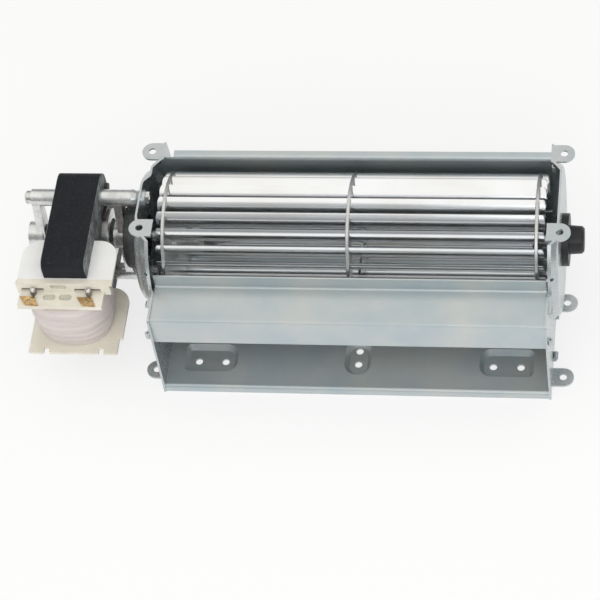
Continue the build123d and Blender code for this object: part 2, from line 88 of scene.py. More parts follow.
class Tree:
    """A short way to lay out one material's nodes."""

    def __init__(self, name: str) -> None:
        """Start an empty material.

        Args:
            name: The material's name.
        """
        self.material = bpy.data.materials.new(name)
        self.material.use_nodes = True
        self.nodes = self.material.node_tree.nodes
        self.links = self.material.node_tree.links
        self.nodes.clear()
        self.output = self.nodes.new("ShaderNodeOutputMaterial")
        self.shader = self.nodes.new("ShaderNodeBsdfPrincipled")
        self.links.new(self.shader.outputs["BSDF"], self.output.inputs["Surface"])
        self.place = self.nodes.new("ShaderNodeTexCoord").outputs["Object"]

    def stretched(self, scale: Sequence[float]) -> Socket:
        """Object coordinates with one scale per axis.

        Args:
            scale: Multipliers along X, Y and Z.

        Returns:
            The mapped coordinate socket.
        """
        mapping = self.nodes.new("ShaderNodeMapping")
        mapping.inputs["Scale"].default_value = scale
        self.links.new(self.place, mapping.inputs["Vector"])
        return mapping.outputs["Vector"]

    def noise(self, scale: Sequence[float], detail: float = 4.0, rough: float = 0.55) -> Socket:
        """A noise value in object space.

        Args:
            scale: Cells per metre along X, Y and Z.
            detail: Octaves.
            rough: How strong the finer octaves are.

        Returns:
            The noise factor socket.
        """
        texture = self.nodes.new("ShaderNodeTexNoise")
        texture.inputs["Scale"].default_value = 1.0
        texture.inputs["Detail"].default_value = detail
        texture.inputs["Roughness"].default_value = rough
        self.links.new(self.stretched(scale), texture.inputs["Vector"])
        return texture.outputs["Fac"]

    def ramp(self, value: Socket, low: float, high: float, start: float = 0.0,
             end: float = 1.0) -> Socket:
        """Map a value from one range onto another, clamped.

        Args:
            value: The socket to map.
            low: Input that gives start.
            high: Input that gives end.
            start: Output at low.
            end: Output at high.

        Returns:
            The mapped value socket.
        """
        node = self.nodes.new("ShaderNodeMapRange")
        for name, number in (("From Min", low), ("From Max", high), ("To Min", start), ("To Max", end)):
            node.inputs[name].default_value = number
        self.links.new(value, node.inputs["Value"])
        return node.outputs["Result"]

    def blend(self, factor: Socket, first: Colour | Socket, second: Colour | Socket) -> Socket:
        """Mix two colours.

        Args:
            factor: 0 gives the first colour and 1 the second.
            first: Colour, or colour socket, at 0.
            second: Colour, or colour socket, at 1.

        Returns:
            The mixed colour socket.
        """
        node = self.nodes.new("ShaderNodeMix")
        node.data_type = "RGBA"
        for name, value in (("A", first), ("B", second)):
            socket = next(s for s in node.inputs if s.name == name and s.type == "RGBA")
            if isinstance(value, tuple):
                socket.default_value = (*value, 1.0)
            else:
                self.links.new(value, socket)
        self.links.new(factor, node.inputs["Factor"])
        return next(s for s in node.outputs if s.type == "RGBA")

    def work_out(self, operation: str, first: Socket, second: Socket | float | None = None) -> Socket:
        """Work out one value from one or two others.

        Args:
            operation: The math node's operation.
            first: The first value's socket.
            second: The second value or its socket; None where the operation takes only one.

        Returns:
            The result's socket.
        """
        node = self.nodes.new("ShaderNodeMath")
        node.operation = operation
        self.links.new(first, node.inputs[0])
        if isinstance(second, float):
            node.inputs[1].default_value = second
        elif second is not None:
            self.links.new(second, node.inputs[1])
        return node.outputs[0]

    def coordinate(self, axis: str) -> Socket:
        """One object coordinate.

        Args:
            axis: "X", "Y" or "Z".

        Returns:
            The coordinate's socket, in metres.
        """
        split = self.nodes.new("ShaderNodeSeparateXYZ")
        self.links.new(self.place, split.inputs["Vector"])
        return split.outputs[axis]

    def bump(self, height: Socket, strength: float, distance: float) -> None:
        """Add a bump to the shader, over any bump already there.

        Args:
            height: The height socket.
            strength: 0 to 1.
            distance: Height of a full step, in metres.
        """
        node = self.nodes.new("ShaderNodeBump")
        node.inputs["Strength"].default_value = strength
        node.inputs["Distance"].default_value = distance
        self.links.new(height, node.inputs["Height"])
        if self.shader.inputs["Normal"].is_linked:
            self.links.new(self.shader.inputs["Normal"].links[0].from_socket, node.inputs["Normal"])
        self.links.new(node.outputs["Normal"], self.shader.inputs["Normal"])

    def colour(self, source: Socket) -> None:
        """Drive the base colour."""
        self.links.new(source, self.shader.inputs["Base Color"])

    def roughness(self, source: Socket) -> None:
        """Drive the roughness."""
        self.links.new(source, self.shader.inputs["Roughness"])

    def constant(self, name: str, number: float) -> None:
        """Set one of the shader's own sockets."""
        self.shader.inputs[name].default_value = number


# Scuffs: noise cells along each axis per patch, and the range of the noise over which they show.
SCUFF_CELLS = (2.2, 11.0, 7.0)
SCUFF_RANGE = (0.60, 0.74)


@dataclass(frozen=True)
class Finish:
    """One surface finish with fine colour, gloss and height variation.

    Attributes:
        name: Material name.
        base: Main colour, linear.
        shade: The colour that patches drift to.
        metallic: 0 for a dielectric, 1 for bare metal, between them for a filmed one.
        gloss: Lowest and highest roughness.
        grain: How the fine marks run.
        patch: Size of the colour patches, in metres.
        fine: Size of the fine marks, in metres.
        relief: Height of the fine marks, in metres.
        coat: Strength of a clear coat.
        scuffs: How far the thin scuffs and handling marks shift the colour to the shade.
        shine: Specular level, 0.5 for a plain surface.
    """

    name: str
    base: Colour
    shade: Colour
    metallic: float = 0.0
    gloss: tuple[float, float] = (0.4, 0.55)
    grain: Grain = Grain.MOTTLED
    patch: float = 0.02
    fine: float = 0.0006
    relief: float = 0.00001
    coat: float = 0.0
    scuffs: float = 0.4
    shine: float = 0.5

    def build(self) -> bpy.types.Material:
        """Lay out the material.

        Returns:
            The finished material.
        """
        tree = Tree(self.name)
        cells, marks = 1.0 / self.patch, 1.0 / self.fine
        patches = tree.ramp(tree.noise(even(cells), 3.0), *BULK)
        drift = tree.blend(patches, self.base, self.shade)
        scuff = tree.noise([cells * stretch for stretch in SCUFF_CELLS], 5.0, 0.7)
        tree.colour(tree.blend(tree.ramp(scuff, *SCUFF_RANGE, 0.0, self.scuffs), drift, self.shade))
        fine = tree.noise([marks * closeness for closeness in self.grain.value], 3.0, 0.6)
        tree.roughness(tree.ramp(fine, *WIDE, *self.gloss))
        tree.bump(fine, 0.5, self.relief)
        tree.constant("Metallic", self.metallic)
        tree.constant("Specular IOR Level", self.shine)
        if self.coat:
            tree.constant("Coat Weight", self.coat)
            tree.constant("Coat Roughness", 0.15)
        return tree.material


ZINC_SHEET = Finish(
    "zinc_plated_sheet", (0.46, 0.53, 0.56), (0.56, 0.585, 0.575), metallic=0.64, gloss=(0.32, 0.38),
    patch=0.03, fine=0.0025, relief=0.0000006, scuffs=0.15)
PLATE_SHEET = Finish(
    "zinc_plated_plate", (0.48, 0.53, 0.55), (0.57, 0.59, 0.595), metallic=0.80, gloss=(0.24, 0.31),
    patch=0.012, fine=0.0025, relief=0.0000015, scuffs=0.2)
STRIP = Finish(
    "rolled_aluminium_strip", (0.90, 0.915, 0.94), (0.82, 0.82, 0.81), metallic=1.0, gloss=(0.16, 0.24),
    grain=Grain.ALONG_X, patch=0.05, fine=0.0009, relief=0.0000012, scuffs=0.3)
DISC = Finish(
    "pressed_wheel_disc", (0.66, 0.67, 0.67), (0.54, 0.55, 0.55), metallic=1.0, gloss=(0.26, 0.38),
    patch=0.01)
CAST = Finish(
    "die_cast_zinc", (0.80, 0.81, 0.80), (0.62, 0.63, 0.63), metallic=1.0, gloss=(0.22, 0.38),
    patch=0.006, fine=0.0007, relief=0.00002)
BRIGHT = Finish(
    "bright_plated_steel", (0.74, 0.74, 0.72), (0.60, 0.60, 0.59), metallic=1.0, gloss=(0.16, 0.3),
    patch=0.004)
# Black steel for the set screw, thrust washers and rivets; on the spacer cup and the ribbed collar the same
# black is painted shade.
DARK_STEEL = Finish(
    "black_steel_and_painted_shade", (0.030, 0.033, 0.034), (0.06, 0.064, 0.064), gloss=(0.40, 0.55), patch=0.008)
ROTOR_STEEL = Finish(
    "ground_rotor_steel", (0.22, 0.22, 0.23), (0.15, 0.15, 0.16), metallic=1.0, gloss=(0.35, 0.5),
    grain=Grain.STACKED, patch=0.01, fine=0.0005, relief=0.00002)
ROTOR_RING = Finish(
    "cast_rotor_ring", (0.80, 0.80, 0.79), (0.66, 0.66, 0.65), metallic=1.0, gloss=(0.25, 0.4),
    patch=0.008)
RUBBER = Finish(
    "black_rubber", (0.020, 0.021, 0.023), (0.034, 0.035, 0.037), gloss=(0.38, 0.52),
    fine=0.0006, relief=0.00002, coat=0.1, shine=0.3)
BRASS = Finish(
    "brass_tab", (0.74, 0.53, 0.26), (0.42, 0.25, 0.11), metallic=1.0, gloss=(0.24, 0.40),
    patch=0.0013, scuffs=0.8)
BRONZE = Finish(
    "sintered_bronze", (0.42, 0.30, 0.16), (0.34, 0.24, 0.13), metallic=1.0, gloss=(0.45, 0.6),
    patch=0.003)
# Shading-ring copper coloured near black: painted shade, as dark as the shaded gap beside the core.
SHADED_COPPER = Finish(
    "shading_copper_painted_shade", (0.050, 0.036, 0.030), (0.030, 0.024, 0.022), gloss=(0.35, 0.5),
    patch=0.004)
# Painted shade: darker colours for the floors of the bobbin's recesses and slots.
RECESS_SHADE = Finish(
    "recess_painted_shade", (0.60, 0.58, 0.50), (0.50, 0.48, 0.40), gloss=(0.45, 0.6), patch=0.004)
SLOT_SHADE = Finish("slot_painted_shade", (0.20, 0.17, 0.12), (0.12, 0.10, 0.07), gloss=(0.5, 0.65), patch=0.003)
SOLDER = Finish(
    "solder_bead", (0.82, 0.82, 0.80), (0.62, 0.62, 0.61), metallic=1.0, gloss=(0.10, 0.24),
    patch=0.0012, fine=0.0004, relief=0.00002)
WIRE = Finish(
    "enamelled_wire", (0.20, 0.165, 0.13), (0.42, 0.40, 0.37), metallic=1.0, gloss=(0.25, 0.4),
    patch=0.0011, fine=0.0003)


@dataclass(frozen=True)
class CoreVarnish:
    """Black varnish on the stack's edges, with grey lamination faces that are painted darker in random
    patches as painted shade.

    Attributes:
        x0: Outer face of the stack, in metres.
        x1: Inner face of the stack, in metres.
        black: The varnish.
        worn: The varnish where it is thin.
        dust: Specks on the varnish.
        painted_shade_face: The darker colour laid on the sheets' faces as painted shade.
        bare: The sheets' faces where there is no painted shade.
        rim: How far in from each face the varnish begins and is whole, in metres.
    """

    x0: float
    x1: float
    black: Colour = (0.008, 0.010, 0.013)
    worn: Colour = (0.018, 0.020, 0.024)
    dust: Colour = (0.032, 0.034, 0.038)
    painted_shade_face: Colour = (0.115, 0.125, 0.13)
    bare: Colour = (0.27, 0.285, 0.29)
    rim: tuple[float, float] = (0.0001, 0.00025)

    def build(self) -> bpy.types.Material:
        """Lay out the material.

        Returns:
            The finished material.
        """
        tree = Tree("varnished_core")
        middle, half = (self.x0 + self.x1) / 2, (self.x1 - self.x0) / 2
        begins, whole = self.rim
        off_middle = tree.work_out("ABSOLUTE", tree.work_out("SUBTRACT", tree.coordinate("X"), middle))
        face = tree.ramp(off_middle, half - whole, half - begins)
        cloud = tree.noise(even(120), 4.0)
        speck = tree.ramp(tree.noise(even(1500), 2.0), 0.55, 0.75)
        varnish = tree.blend(speck, tree.blend(cloud, self.black, self.worn), self.dust)
        # Painted shade: the lamination faces take the darker colour in random patches.
        shade_patches = tree.ramp(tree.noise((90, 160, 160), 5.0, 0.7), 0.46, 0.60)
        tree.colour(tree.blend(face, varnish, tree.blend(shade_patches, self.painted_shade_face, self.bare)))
        sheets = tree.noise((2200, 12, 12), 2.0)
        tree.roughness(tree.ramp(sheets, *WIDE, 0.44, 0.62))
        tree.bump(sheets, 0.5, 0.00003)
        tree.constant("Specular IOR Level", 0.16)
        return tree.material


@dataclass(frozen=True)
class BobbinMoulding:
    """Cream nylon, with blank white label paper over the top of the upper flange.

    Attributes:
        label_z: Height from which the label paper shows, in metres.
        rear_of: The label stops short of the rim, at this Y, in metres.
        nylon: The moulding, and where it is darker.
        stain: Its stains.
        paper: The label, and where it is darker.
        soft: How far the label's edge fades, in metres.
    """

    label_z: float
    rear_of: float
    nylon: tuple[Colour, Colour] = ((0.79, 0.755, 0.665), (0.70, 0.66, 0.56))
    stain: Colour = (0.55, 0.50, 0.40)
    paper: tuple[Colour, Colour] = ((0.86, 0.86, 0.85), (0.80, 0.80, 0.79))
    soft: float = 0.00005

    def build(self) -> bpy.types.Material:
        """Lay out the material.

        Returns:
            The finished material.
        """
        tree = Tree("moulded_bobbin")
        patches = tree.ramp(tree.noise(even(90), 3.0), *BULK)
        stains = tree.ramp(tree.noise(even(260), 5.0, 0.7), 0.60, 0.76, 0.0, 0.45)
        nylon = tree.blend(stains, tree.blend(patches, *self.nylon), self.stain)
        high = tree.ramp(tree.coordinate("Z"), self.label_z - self.soft, self.label_z)
        back = tree.ramp(tree.coordinate("Y"), self.rear_of - self.soft, self.rear_of + self.soft)
        covered = tree.work_out("MULTIPLY", high, back)
        tree.colour(tree.blend(covered, nylon, tree.blend(patches, *self.paper)))
        fine = tree.noise(even(1600), 3.0, 0.6)
        tree.roughness(tree.ramp(fine, *WIDE, 0.40, 0.55))
        tree.bump(fine, 0.4, 0.000012)
        tree.bump(tree.noise(even(150), 2.0), 0.3, 0.00006)
        return tree.material


@dataclass(frozen=True)
class WindingTape:
    """Pale tape over the winding, wound in turns through which the pink wire shows a little.

    Attributes:
        tape: The tape, and where it is darker.
        thread: The pink lines in it.
    """

    tape: tuple[Colour, Colour] = ((0.66, 0.595, 0.575), (0.58, 0.505, 0.485))
    thread: Colour = (0.54, 0.40, 0.385)

    def build(self) -> bpy.types.Material:
        """Lay out the material.

        Returns:
            The finished material.
        """
        tree = Tree("winding_tape")
        bands = tree.noise((30, 30, 260), 3.0, 0.5)
        threads = tree.noise((25, 25, 1500), 2.0, 0.6)
        tape = tree.blend(tree.ramp(bands, *BULK), *self.tape)
        tree.colour(tree.blend(tree.ramp(threads, 0.55, 0.75, 0.0, 0.5), tape, self.thread))
        tree.roughness(tree.ramp(bands, *WIDE, 0.34, 0.5))
        tree.bump(threads, 0.3, 0.00004)
        tree.bump(tree.noise((90, 90, 700), 3.0), 0.4, 0.00012)
        tree.constant("Coat Weight", 0.12)
        tree.constant("Coat Roughness", 0.3)
        return tree.material


class Paintbox:
    """Keeps each finish, built on first use."""

    def __init__(self) -> None:
        """Start with no finish built."""
        self.made: dict[object, bpy.types.Material] = {}

    def mix(self, finish: Finish | CoreVarnish | BobbinMoulding | WindingTape) -> bpy.types.Material:
        """The material of a finish.

        Args:
            finish: The finish wanted.

        Returns:
            Its material.
        """
        if finish not in self.made:
            self.made[finish] = finish.build()
        return self.made[finish]


# -------------------- pieces


def place(x: float, y: float, z: float) -> Vector:
    """A point given in millimetres from the middle of the wheel's axis.

    Args:
        x: Along the axis, away from the motor.
        y: To the rear.
        z: Up.

    Returns:
        The point in the fan's frame, in metres.
    """
    return Vector((x, y, z)) * MM + AXIS


def smooth_by_angle(piece: bpy.types.Object, degrees: float = 32.0) -> None:
    """Shade a piece smooth except across its sharp edges.

    Args:
        piece: The piece.
        degrees: Edges that turn more than this stay sharp.
    """
    shape = bmesh.new()
    shape.from_mesh(piece.data)
    for face in shape.faces:
        face.smooth = True
    for edge in shape.edges:
        edge.smooth = edge.calc_face_angle(math.pi) < math.radians(degrees)
    shape.to_mesh(piece.data)
    shape.free()


def stood_up(upright: bool) -> Matrix:
    """A quarter turn about X for what stands upright, and no turn for what lies flat."""
    return Matrix.Rotation(math.radians(90), 4, "X") if upright else Matrix.Identity(4)


def pour(part: Shape, shape: Shape) -> None:
    """Add a finished part to a shape.

    Args:
        part: The part's mesh; it is freed.
        shape: The mesh that it goes into.
    """
    mesh = bpy.data.meshes.new("poured_part")
    part.to_mesh(mesh)
    part.free()
    shape.from_mesh(mesh)
    bpy.data.meshes.remove(mesh)


def edges_of(verts: Sequence[bmesh.types.BMVert]) -> list[bmesh.types.BMEdge]:
    """The edges that meet at some vertices, each once and in the same order every time."""
    return list(dict.fromkeys(edge for vert in verts for edge in vert.link_edges))


def ring_of(shape: Shape, centre: Vector, radius: float, axis: Vector, count: int) -> list:
    """Add a circle of edges.

    Args:
        shape: The mesh that it goes into.
        centre: Its centre.
        radius: Its radius.
        axis: The direction that it faces.
        count: How many points it has.

    Returns:
        Its vertices and edges.
    """
    turn = UP.rotation_difference(axis).to_matrix().to_4x4()
    made = bmesh.ops.create_circle(
        shape, segments=count, radius=radius, matrix=Matrix.Translation(centre) @ turn)
    return [*made["verts"], *edges_of(made["verts"])]


class SubAssembly:
    """What every group of parts can do: dress CAD nodes and hang its own pieces."""

    body: Body = Body.HOUSING
    # The angle from which a CAD edge stays sharp, and the distance below which a piece's points merge.
    SHARP = math.radians(30)
    MERGE = 1e-7

    def __init__(self, paints: Paintbox) -> None:
        """Take the shared finishes.

        Args:
            paints: The finishes.
        """
        self.paints = paints

    def dress(self, finish: object, *nodes: str) -> None:
        """Put a finish on CAD nodes and shade their round faces smooth.

        Args:
            finish: The finish.
            nodes: Names of the nodes.
        """
        for node in nodes:
            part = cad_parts[node]
            for slot in part.material_slots:
                slot.material = self.paints.mix(finish)
            for polygon in part.data.polygons:
                polygon.use_smooth = True
            edges = part.modifiers.new("sharp_edges", "EDGE_SPLIT")
            edges.split_angle = self.SHARP
            LOG.info("%s dressed in %s", node, self.paints.mix(finish).name)

    def hang(self, shape: Shape, name: str, finish: object, slot: str, *stands_for: str) -> None:
        """Turn a finished mesh into a piece that rides on this group's body.

        Args:
            shape: The finished mesh; it is freed.
            name: Name of the piece.
            finish: Its finish.
            slot: The record's material slot; not used.
            stands_for: CAD nodes that it takes the place of.
        """
        bmesh.ops.remove_doubles(shape, verts=shape.verts, dist=self.MERGE)
        bmesh.ops.recalc_face_normals(shape, faces=shape.faces)
        mesh = bpy.data.meshes.new(name)
        shape.to_mesh(mesh)
        shape.free()
        piece = bpy.data.objects.new(name, mesh)
        bpy.context.scene.collection.objects.link(piece)
        mesh.materials.append(self.paints.mix(finish))
        smooth_by_angle(piece)
        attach(piece, self.body.value)
        if stands_for:
            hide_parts(*stands_for)
        LOG.info("%s: %d faces on %s", name, len(mesh.polygons), self.body.value)


# -------------------- housing


@dataclass
class Lug:
    """A sheet tab that is pushed through an end plate and curled over.

    Attributes:
        x: Distance of the curl's centre from the middle, in millimetres.
        y: Its Y.
        z: Its Z.
        radius: Inner radius of the curl.
        width: Width of the tab, across the curl.
        sheet: Thickness of the sheet.
        sweep: How far the tab is curled, in degrees.
        start: Where the curl starts, in degrees from the outward direction.
        upright: Whether the curl's axis is vertical; otherwise it lies along Y.
        steps: How many facets the curl has.
    """

    x: float
    y: float
    z: float
    radius: float = 0.55
    width: float = 3.4
    sheet: float = 0.8
    sweep: float = 250.0
    start: float = 150.0
    upright: bool = True
    steps: int = 16

    def add_to(self, shape: Shape, side: int) -> None:
        """Add the curled tab to a mesh.

        Args:
            shape: The mesh.
            side: -1 for the left plate and 1 for the right one.
        """
        centre = place(side * self.x, self.y, self.z)
        axis = UP if self.upright else REAR
        turn = Matrix.Rotation(math.radians(self.start) * side, 4, axis)
        middle = turn @ Vector((side * (self.radius + self.sheet / 2) * MM, 0.0, 0.0))
        across = Matrix.Diagonal((self.sheet * MM, self.width * MM, 1.0, 1.0))
        frame_of_tab = Matrix.Translation(centre + middle) @ turn @ stood_up(self.upright) @ across
        made = bmesh.ops.create_grid(shape, x_segments=2, y_segments=4, size=0.5, matrix=frame_of_tab)
        faces = dict.fromkeys(face for vert in made["verts"] for face in vert.link_faces)
        tab = [*made["verts"], *edges_of(made["verts"]), *faces]
        bmesh.ops.spin(shape, geom=tab, cent=centre, axis=axis,
                       angle=math.radians(self.sweep) * side, steps=self.steps, use_duplicate=False)


class Housing(SubAssembly):
    """End plates, scroll, vortex wall and the right-hand bearing."""

    LUGS = (Lug(93.3, -53.2, -6.2),
            Lug(93.2, -42.8, 3.4, radius=0.35, width=3.0, upright=False),
            Lug(93.2, -35.5, -43.4, radius=0.35, width=3.6, upright=False))
    CORNER_LUG = Lug(92.9, 23.0, 24.2, radius=0.7, width=3.2, sweep=220.0, start=60.0)

    def curled_lugs(self) -> None:
        """The tabs of both sheets, curled over outside the end plates."""
        shape = bmesh.new()
        for side in (-1, 1):
            for lug in self.LUGS:
                lug.add_to(shape, side)
        self.CORNER_LUG.add_to(shape, 1)
        self.hang(shape, "curled_lugs", PLATE_SHEET, "galvanised_sheet")

    def build(self) -> None:
        """Dress the housing and add its details."""
        self.dress(ZINC_SHEET, "scroll_housing", "vortex_wall")
        self.dress(PLATE_SHEET, "left_end_plate", "right_end_plate")
        self.dress(RUBBER, "bearing_grommet")
        self.dress(BRONZE, "right_bearing_bush")
        self.curled_lugs()


# -------------------- wheel


@dataclass
class Bead:
    """The rounded rim of one wheel disc.

    Attributes:
        x: Its place along the axis, in millimetres.
        radius: Radius of the rim's middle line.
        half_width: Half its width along the axis.
        half_height: Half its height, radially.
        points: How many points its section has.
        steps: How many facets it has round the wheel.
    """

    x: float
    radius: float = 29.95
    half_width: float = 0.95
    half_height: float = 0.62
    points: int = 14
    steps: int = 120

    def add_to(self, shape: Shape) -> None:
        """Spin the rim's section round the axis.

        Args:
            shape: The mesh that it goes into.
        """
        centre = place(self.x, 0.0, self.radius)
        section = ring_of(shape, Vector(), self.half_width * MM, REAR, self.points)
        verts = [part for part in section if isinstance(part, bmesh.types.BMVert)]
        flatten = Matrix.Diagonal((1.0, 1.0, self.half_height / self.half_width, 1.0))
        bmesh.ops.transform(shape, matrix=Matrix.Translation(centre) @ flatten, verts=verts)
        bmesh.ops.spin(shape, geom=section, cent=AXIS, axis=ALONG, angle=math.tau, steps=self.steps,
                       use_merge=True)


class Wheel(SubAssembly):
    """Blade wheel with its discs, hub and stub shaft."""

    body = Body.ROTOR
    DISC_X = 86.4
    BEADS = (Bead(-DISC_X), Bead(0.0), Bead(DISC_X))

    def rim_beads(self) -> None:
        """The rounded rims of the two end discs and the middle ring."""
        shape = bmesh.new()
        for bead in self.BEADS:
            bead.add_to(shape)
        self.hang(shape, "disc_rim_beads", BRIGHT, "disc_aluminium")

    def build(self) -> None:
        """Dress the wheel and add its details."""
        self.dress(STRIP, "impeller_blades")
        self.dress(DISC, "left_end_disc", "middle_ring", "right_end_disc")
        self.dress(CAST, "drive_hub")
        self.dress(DARK_STEEL, "hub_set_screw")
        self.dress(BRIGHT, "right_stub_shaft", "motor_shaft")
        self.dress(ROTOR_STEEL, "rotor_core")
        self.dress(ROTOR_RING, "rotor_end_rings")
        self.dress(DARK_STEEL, "thrust_washers")
        self.rim_beads()


# -------------------- motor


@dataclass
class RibbedCollar:
    """The dark collar on the spacer cup, between the cup and the inner bracket; its black is painted shade
    for the shaded gap there.

    Attributes:
        x0: End that stands against the cup, in millimetres along the axis.
        x1: End beside the bracket.
        outer: Radius at the cup.
        nose: Radius at the bracket's end.
        bore: Radius of the hole round the shaft.
        ribs: How many low ribs run along it.
        rib_height: How far the ribs stand out.
        edge: Rounding of its outer edges.
        rib_from: Radius outside which the ribs run.
    """

    x0: float = -105.8
    x1: float = -108.8
    outer: float = 15.9
    nose: float = 15.0
    bore: float = 5.0
    ribs: int = 36
    rib_height: float = 0.35
    edge: float = 0.5
    rib_from: float = 14.0

    def build(self) -> Shape:
        """Spin the collar's section and raise its ribs.

        Returns:
            The finished mesh.
        """
        shape = bmesh.new()
        corners = ((self.x0, self.bore), (self.x0, self.outer), (self.x1, self.nose), (self.x1, self.bore))
        section = [shape.verts.new(place(x, 0.0, radius)) for x, radius in corners]
        shape.faces.new(section)
        bmesh.ops.bevel(shape, geom=section[1:3], offset=self.edge * MM, segments=3, profile=0.5,
                        affect="VERTICES", material=-1)
        outline = [*shape.verts, *shape.edges]
        bmesh.ops.delete(shape, geom=shape.faces[:], context="FACES_ONLY")
        bmesh.ops.spin(shape, geom=outline, cent=AXIS, axis=ALONG, angle=math.tau, steps=self.ribs * 4,
                       use_merge=True)
        for vert in shape.verts:
            out = vert.co - AXIS
            out.x = 0.0
            if out.length > self.rib_from * MM:
                wave = 0.5 + 0.5 * math.cos(math.atan2(out.y, out.z) * self.ribs)
                vert.co += out.normalized() * self.rib_height * MM * wave
        return shape


class Motor(SubAssembly):
    """Core, brackets, bearings and fixings."""

    def build(self) -> None:
        """Dress the motor."""
        low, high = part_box("stator_core")
        self.dress(CoreVarnish(low.x, high.x), "stator_core", "core_yoke")
        self.dress(CAST, "outer_bracket", "inner_bracket")
        self.dress(BRIGHT, "motor_screws", "screw_nuts")
        # The spacer cup's black is painted shade, where the motor's inner side lies in shade; the rivets are
        # black in their own right.
        self.dress(DARK_STEEL, "motor_spacer_cup", "core_rivets")
        self.dress(PLATE_SHEET, "motor_grommets")
        self.dress(BRONZE, "outer_bearing_bush", "inner_bearing_bush")
        # The shading rings' near-black copper is painted shade.
        self.dress(SHADED_COPPER, "shading_rings")
        # The collar's black is painted shade, like the spacer cup's.
        self.hang(RibbedCollar().build(), "ribbed_cup_collar", DARK_STEEL, "dark_steel")


# -------------------- coil


@dataclass
class TapedWinding:
    """The barrel of wire under tape, between the bobbin's flanges.

    Attributes:
        corner: Corner radius of its plan, in metres.
        wall: Depth of the winding from its outer face, in metres.
        pitch: Height of one turn of tape, in metres.
        lap: How far each turn stands over the one below, in metres.
        waist: How far the barrel draws in at its ends, in metres.
        levels: How many rings of points its height has.
        step_z: Height at which the front gives way to the terminal ledge, in metres.
        step_y: Y of the front face above that, in metres.
        corner_steps: How many facets each corner has.
        flat_cuts: Extra rings of points across each side, as shares of its length from its middle.
        waist_power: How suddenly the ends draw in.
        climb: Share of a turn over which the tape rises to its edge.
        drop: Share over which it falls back.
        wander: How far a turn strays up and down, in turns.
        sway: How far it leans from side to side, in turns.
        dents: Depth of the uneven places, in metres.
    """

    corner: float = 0.0158
    wall: float = 0.005
    pitch: float = 0.0052
    lap: float = 0.00045
    waist: float = 0.0021
    levels: int = 72
    step_z: float = AXIS.z + 0.0111
    step_y: float = AXIS.y - 0.0411
    corner_steps: int = 18
    flat_cuts: tuple[float, ...] = (-0.09, 0.0, 0.09)
    waist_power: float = 2.6
    climb: float = 0.8
    drop: float = 0.2
    wander: float = 0.25
    sway: float = 0.1
    dents: float = 0.00022

    def barrel(self, low: Vector, high: Vector) -> Shape:
        """Shape the whole barrel as a closed tube.

        Args:
            low: Lowest corner of the CAD winding.
            high: Its highest corner.

        Returns:
            The tube.
        """
        shape = bmesh.new()
        size, middle = high - low, (high + low) / 2
        block = Matrix.Translation(middle) @ Matrix.Diagonal((*size, 1.0))
        bmesh.ops.create_cube(shape, size=1.0, matrix=block)
        caps = [face for face in shape.faces if abs(face.normal.z) > 0.9]
        bmesh.ops.delete(shape, geom=caps, context="FACES_ONLY")
        corners = [edge for edge in shape.edges if abs(edge.verts[0].co.z - edge.verts[1].co.z) > size.z / 2]
        bmesh.ops.bevel(shape, geom=corners, offset=self.corner, segments=self.corner_steps, profile=0.5,
                        affect="EDGES", material=-1)
        bmesh.ops.recalc_face_normals(shape, faces=shape.faces)
        for facing, span in ((ALONG, size.x), (REAR, size.y)):
            for share in self.flat_cuts:
                self.slice(shape, middle + facing * (span * share), facing)
        for level in range(1, self.levels):
            self.slice(shape, low + UP * (size.z * level / self.levels), UP)
        self.wrap(shape, low, high, middle)
        bmesh.ops.solidify(shape, geom=shape.faces[:], thickness=self.wall)
        return shape

    def slice(self, shape: Shape, point: Vector, facing: Vector) -> None:
        """Cut a ring of edges round the barrel.

        Args:
            shape: The barrel.
            point: A point on the cut.
            facing: The cut's normal.
        """
        bmesh.ops.bisect_plane(shape, geom=[*shape.verts, *shape.edges, *shape.faces], plane_co=point,
                               plane_no=facing)

    def wrap(self, shape: Shape, low: Vector, high: Vector, middle: Vector) -> None:
        """Draw the barrel in and lay the tape's turns on it.

        Args:
            shape: The barrel's outer wall.
            low: Its lowest corner.
            high: Its highest corner.
            middle: Its centre.
        """
        shape.normal_update()
        moves = []
        for vert in shape.verts:
            flat = Vector((vert.normal.x, vert.normal.y, 0.0)).normalized()
            if flat.dot(vert.co - middle) < 0:
                flat.negate()
            angle = math.atan2(vert.co.y - middle.y, vert.co.x - middle.x)
            height = (vert.co.z - low.z) / (high.z - low.z)
            draw = self.waist * abs(2 * height - 1) ** self.waist_power
            stray = self.wander * noise.noise(vert.co * 90) + self.sway * math.sin(2 * angle)
            turn = ((vert.co.z - low.z) / self.pitch + angle / math.tau + stray) % 1.0
            fold = min(turn / self.climb, (1.0 - turn) / self.drop)
            uneven = self.dents * noise.noise(vert.co * 170 + Vector((7.0, 3.0, 1.0)))
            moves.append((vert, flat * (self.lap * (fold - 0.5) - draw + uneven)))
        for vert, move in moves:
            vert.co += move

    def cut(self, shape: Shape, point: Vector, facing: Vector) -> None:
        """Cut away what lies on the far side of a plane and close the wall there.

        Args:
            shape: The closed tube.
            point: A point on the plane.
            facing: The side that goes.
        """
        made = bmesh.ops.bisect_plane(shape, geom=[*shape.verts, *shape.edges, *shape.faces], plane_co=point,
                                      plane_no=facing, clear_outer=True)
        rim = [edge for edge in made["geom_cut"] if isinstance(edge, bmesh.types.BMEdge)]
        loops = [edge for edge in rim if edge.is_valid and edge.is_boundary]
        if abs(facing.z) > 0.5:
            bmesh.ops.bridge_loops(shape, edges=loops)
        else:
            bmesh.ops.holes_fill(shape, edges=loops, sides=0)

    def build(self) -> Shape:
        """Make the winding with its upper front cut back behind the rim.

        Returns:
            The finished mesh.
        """
        low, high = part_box("coil_winding")
        whole = bmesh.new()
        step = Vector((0.0, self.step_y, self.step_z))
        for upper in (False, True):
            part = self.barrel(low, high)
            self.cut(part, step, -UP if upper else UP)
            if upper:
                self.cut(part, step, -REAR)
            pour(part, whole)
        return whole


